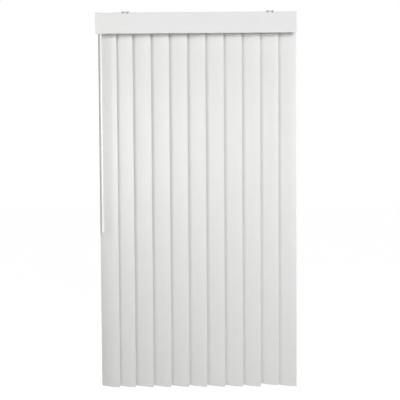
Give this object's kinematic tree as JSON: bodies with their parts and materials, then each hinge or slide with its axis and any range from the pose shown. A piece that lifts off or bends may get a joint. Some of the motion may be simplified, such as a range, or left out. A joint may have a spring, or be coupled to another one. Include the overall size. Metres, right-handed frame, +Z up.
{
  "type": "vertical blind",
  "caption": "Vertical window blind with bowed hanging vanes on sliding carriers, a turning wand at the left and a clip-on valance over a slotted headrail.",
  "frame": {"origin": "middle of the plane that the two ceiling brackets are screwed to", "axes": "+X along the rail to the right as seen from the room, +Y towards the window, +Z up"},
  "size_m": [0.8753, 0.0905, 1.651],
  "materials": {
    "rail_enamel": "satin",
    "cap_plastic": "satin",
    "bracket_steel": "zinc plated",
    "valance_plastic": "satin",
    "insert_plastic": "satin",
    "clip_plastic": "satin",
    "rod_metal": "drawn",
    "fork_plastic": "gloss",
    "wand_plastic": "gloss",
    "grip_plastic": "gloss",
    "carrier_plastic": "moulded",
    "spacer_steel": "rolled",
    "stem_plastic": "moulded",
    "vane_plastic": "satin, faint lengthwise streaks"
  },
  "bodies": {
    "rail": {"headrail": "rail_enamel", "end_cap_left": "cap_plastic", "end_cap_right": "cap_plastic", "bracket_left": "bracket_steel", "bracket_right": "bracket_steel", "valance_channel": "valance_plastic", "valance_insert": "insert_plastic", "valance_clip_left": "clip_plastic", "valance_clip_right": "clip_plastic", "carrier_11": "carrier_plastic", "spacer_10": "spacer_steel"},
    "carrier_1": {"carrier_1": "carrier_plastic"},
    "carrier_2": {"carrier_2": "carrier_plastic", "spacer_1": "spacer_steel"},
    "carrier_3": {"carrier_3": "carrier_plastic", "spacer_2": "spacer_steel"},
    "carrier_4": {"carrier_4": "carrier_plastic", "spacer_3": "spacer_steel"},
    "carrier_5": {"carrier_5": "carrier_plastic", "spacer_4": "spacer_steel"},
    "carrier_6": {"carrier_6": "carrier_plastic", "spacer_5": "spacer_steel"},
    "carrier_7": {"carrier_7": "carrier_plastic", "spacer_6": "spacer_steel"},
    "carrier_8": {"carrier_8": "carrier_plastic", "spacer_7": "spacer_steel"},
    "carrier_9": {"carrier_9": "carrier_plastic", "spacer_8": "spacer_steel"},
    "carrier_10": {"carrier_10": "carrier_plastic", "spacer_9": "spacer_steel"},
    "vane_1": {"stem_1": "stem_plastic", "vane_1": "vane_plastic"},
    "vane_2": {"stem_2": "stem_plastic", "vane_2": "vane_plastic"},
    "vane_3": {"stem_3": "stem_plastic", "vane_3": "vane_plastic"},
    "vane_4": {"stem_4": "stem_plastic", "vane_4": "vane_plastic"},
    "vane_5": {"stem_5": "stem_plastic", "vane_5": "vane_plastic"},
    "vane_6": {"stem_6": "stem_plastic", "vane_6": "vane_plastic"},
    "vane_7": {"stem_7": "stem_plastic", "vane_7": "vane_plastic"},
    "vane_8": {"stem_8": "stem_plastic", "vane_8": "vane_plastic"},
    "vane_9": {"stem_9": "stem_plastic", "vane_9": "vane_plastic"},
    "vane_10": {"stem_10": "stem_plastic", "vane_10": "vane_plastic"},
    "vane_11": {"stem_11": "stem_plastic", "vane_11": "vane_plastic"},
    "tilt_rod": {"tilt_rod": "rod_metal"},
    "wand_fork": {"wand_fork": "fork_plastic"},
    "wand": {"wand": "wand_plastic", "wand_grip": "grip_plastic"}
  },
  "joints": [
    {"name": "slide_1", "type": "slide", "parent": "rail", "child": "carrier_1", "axis": [1, 0, 0], "range_m": [0, 0.6405]},
    {"name": "slide_2", "type": "slide", "parent": "rail", "child": "carrier_2", "axis": [1, 0, 0], "range_m": [0, 0.585]},
    {"name": "slide_3", "type": "slide", "parent": "rail", "child": "carrier_3", "axis": [1, 0, 0], "range_m": [0, 0.52]},
    {"name": "slide_4", "type": "slide", "parent": "rail", "child": "carrier_4", "axis": [1, 0, 0], "range_m": [0, 0.455]},
    {"name": "slide_5", "type": "slide", "parent": "rail", "child": "carrier_5", "axis": [1, 0, 0], "range_m": [0, 0.39]},
    {"name": "slide_6", "type": "slide", "parent": "rail", "child": "carrier_6", "axis": [1, 0, 0], "range_m": [0, 0.325]},
    {"name": "slide_7", "type": "slide", "parent": "rail", "child": "carrier_7", "axis": [1, 0, 0], "range_m": [0, 0.26]},
    {"name": "slide_8", "type": "slide", "parent": "rail", "child": "carrier_8", "axis": [1, 0, 0], "range_m": [0, 0.195]},
    {"name": "slide_9", "type": "slide", "parent": "rail", "child": "carrier_9", "axis": [1, 0, 0], "range_m": [0, 0.13]},
    {"name": "slide_10", "type": "slide", "parent": "rail", "child": "carrier_10", "axis": [1, 0, 0], "range_m": [0, 0.065]},
    {"name": "tilt_1", "type": "hinge", "parent": "carrier_1", "child": "vane_1", "pos_m": [-0.3945, 0, -0.0194], "axis": [0, 0, -1], "range_deg": [0, 144]},
    {"name": "tilt_2", "type": "hinge", "parent": "carrier_2", "child": "vane_2", "pos_m": [-0.324, 0, -0.0194], "axis": [0, 0, -1], "range_deg": [0, 144]},
    {"name": "tilt_3", "type": "hinge", "parent": "carrier_3", "child": "vane_3", "pos_m": [-0.244, 0, -0.0194], "axis": [0, 0, -1], "range_deg": [0, 144]},
    {"name": "tilt_4", "type": "hinge", "parent": "carrier_4", "child": "vane_4", "pos_m": [-0.164, 0, -0.0194], "axis": [0, 0, -1], "range_deg": [0, 144]},
    {"name": "tilt_5", "type": "hinge", "parent": "carrier_5", "child": "vane_5", "pos_m": [-0.084, 0, -0.0194], "axis": [0, 0, -1], "range_deg": [0, 144]},
    {"name": "tilt_6", "type": "hinge", "parent": "carrier_6", "child": "vane_6", "pos_m": [-0.004, 0, -0.0194], "axis": [0, 0, -1], "range_deg": [0, 144]},
    {"name": "tilt_7", "type": "hinge", "parent": "carrier_7", "child": "vane_7", "pos_m": [0.076, 0, -0.0194], "axis": [0, 0, -1], "range_deg": [0, 144]},
    {"name": "tilt_8", "type": "hinge", "parent": "carrier_8", "child": "vane_8", "pos_m": [0.156, 0, -0.0194], "axis": [0, 0, -1], "range_deg": [0, 144]},
    {"name": "tilt_9", "type": "hinge", "parent": "carrier_9", "child": "vane_9", "pos_m": [0.236, 0, -0.0194], "axis": [0, 0, -1], "range_deg": [0, 144]},
    {"name": "tilt_10", "type": "hinge", "parent": "carrier_10", "child": "vane_10", "pos_m": [0.316, 0, -0.0194], "axis": [0, 0, -1], "range_deg": [0, 144]},
    {"name": "tilt_11", "type": "hinge", "parent": "rail", "child": "vane_11", "pos_m": [0.396, 0, -0.0194], "axis": [0, 0, -1], "range_deg": [0, 144]},
    {"name": "rod_turn", "type": "hinge", "parent": "rail", "child": "tilt_rod", "pos_m": [0, 0.0122, -0.0194], "axis": [1, 0, 0], "range_deg": [0, 1080]},
    {"name": "wand_twist", "type": "hinge", "parent": "carrier_1", "child": "wand_fork", "pos_m": [-0.4105, -0.0525, -0.0397], "axis": [0, 0, -1], "range_deg": [0, 1080]},
    {"name": "wand_swing", "type": "hinge", "parent": "wand_fork", "child": "wand", "pos_m": [-0.4105, -0.0525, -0.056], "axis": [0, 1, 0], "range_deg": [-45, 45]}
  ],
  "couplings": [
    {"joint": "slide_2", "follows": "slide_1", "ratio": 0.91335},
    {"joint": "slide_3", "follows": "slide_1", "ratio": 0.81187},
    {"joint": "slide_4", "follows": "slide_1", "ratio": 0.71038},
    {"joint": "slide_5", "follows": "slide_1", "ratio": 0.6089},
    {"joint": "slide_6", "follows": "slide_1", "ratio": 0.50742},
    {"joint": "slide_7", "follows": "slide_1", "ratio": 0.40593},
    {"joint": "slide_8", "follows": "slide_1", "ratio": 0.30445},
    {"joint": "slide_9", "follows": "slide_1", "ratio": 0.20297},
    {"joint": "slide_10", "follows": "slide_1", "ratio": 0.10148},
    {"joint": "tilt_2", "follows": "tilt_1", "ratio": 1},
    {"joint": "tilt_3", "follows": "tilt_1", "ratio": 1},
    {"joint": "tilt_4", "follows": "tilt_1", "ratio": 1},
    {"joint": "tilt_5", "follows": "tilt_1", "ratio": 1},
    {"joint": "tilt_6", "follows": "tilt_1", "ratio": 1},
    {"joint": "tilt_7", "follows": "tilt_1", "ratio": 1},
    {"joint": "tilt_8", "follows": "tilt_1", "ratio": 1},
    {"joint": "tilt_9", "follows": "tilt_1", "ratio": 1},
    {"joint": "tilt_10", "follows": "tilt_1", "ratio": 1},
    {"joint": "tilt_11", "follows": "tilt_1", "ratio": 1},
    {"joint": "rod_turn", "follows": "tilt_1", "ratio": 7.5},
    {"joint": "wand_twist", "follows": "tilt_1", "ratio": 7.5}
  ]
}
